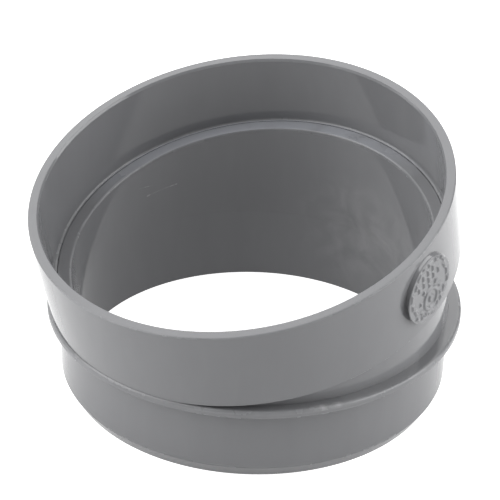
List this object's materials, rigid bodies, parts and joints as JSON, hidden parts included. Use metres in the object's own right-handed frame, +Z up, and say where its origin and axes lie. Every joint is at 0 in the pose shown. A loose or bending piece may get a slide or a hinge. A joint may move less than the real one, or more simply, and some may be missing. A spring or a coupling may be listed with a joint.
{
  "type": "short pipe bend coupling",
  "caption": "Short 15 degree male and female bend coupling for plastic pipe: a plain spigot with a stop collar, a bent passage and a tilted plain socket with a round marking disc.",
  "frame": {"origin": "centre of the spigot's open end face, on the spigot axis", "axes": "+Z runs up the spigot axis into the fitting; the socket leans 15 degrees towards -Y; the marking disc faces +X"},
  "size_m": [0.1072, 0.1116, 0.0704],
  "materials": {
    "grey_pvc": "semi-gloss moulded grey PVC"
  },
  "bodies": {
    "root": {"spigot_tube": "grey_pvc", "bend_body": "grey_pvc", "stop_collar": "grey_pvc", "socket_sleeve": "grey_pvc", "marking_disc": "grey_pvc"}
  },
  "joints": []
}
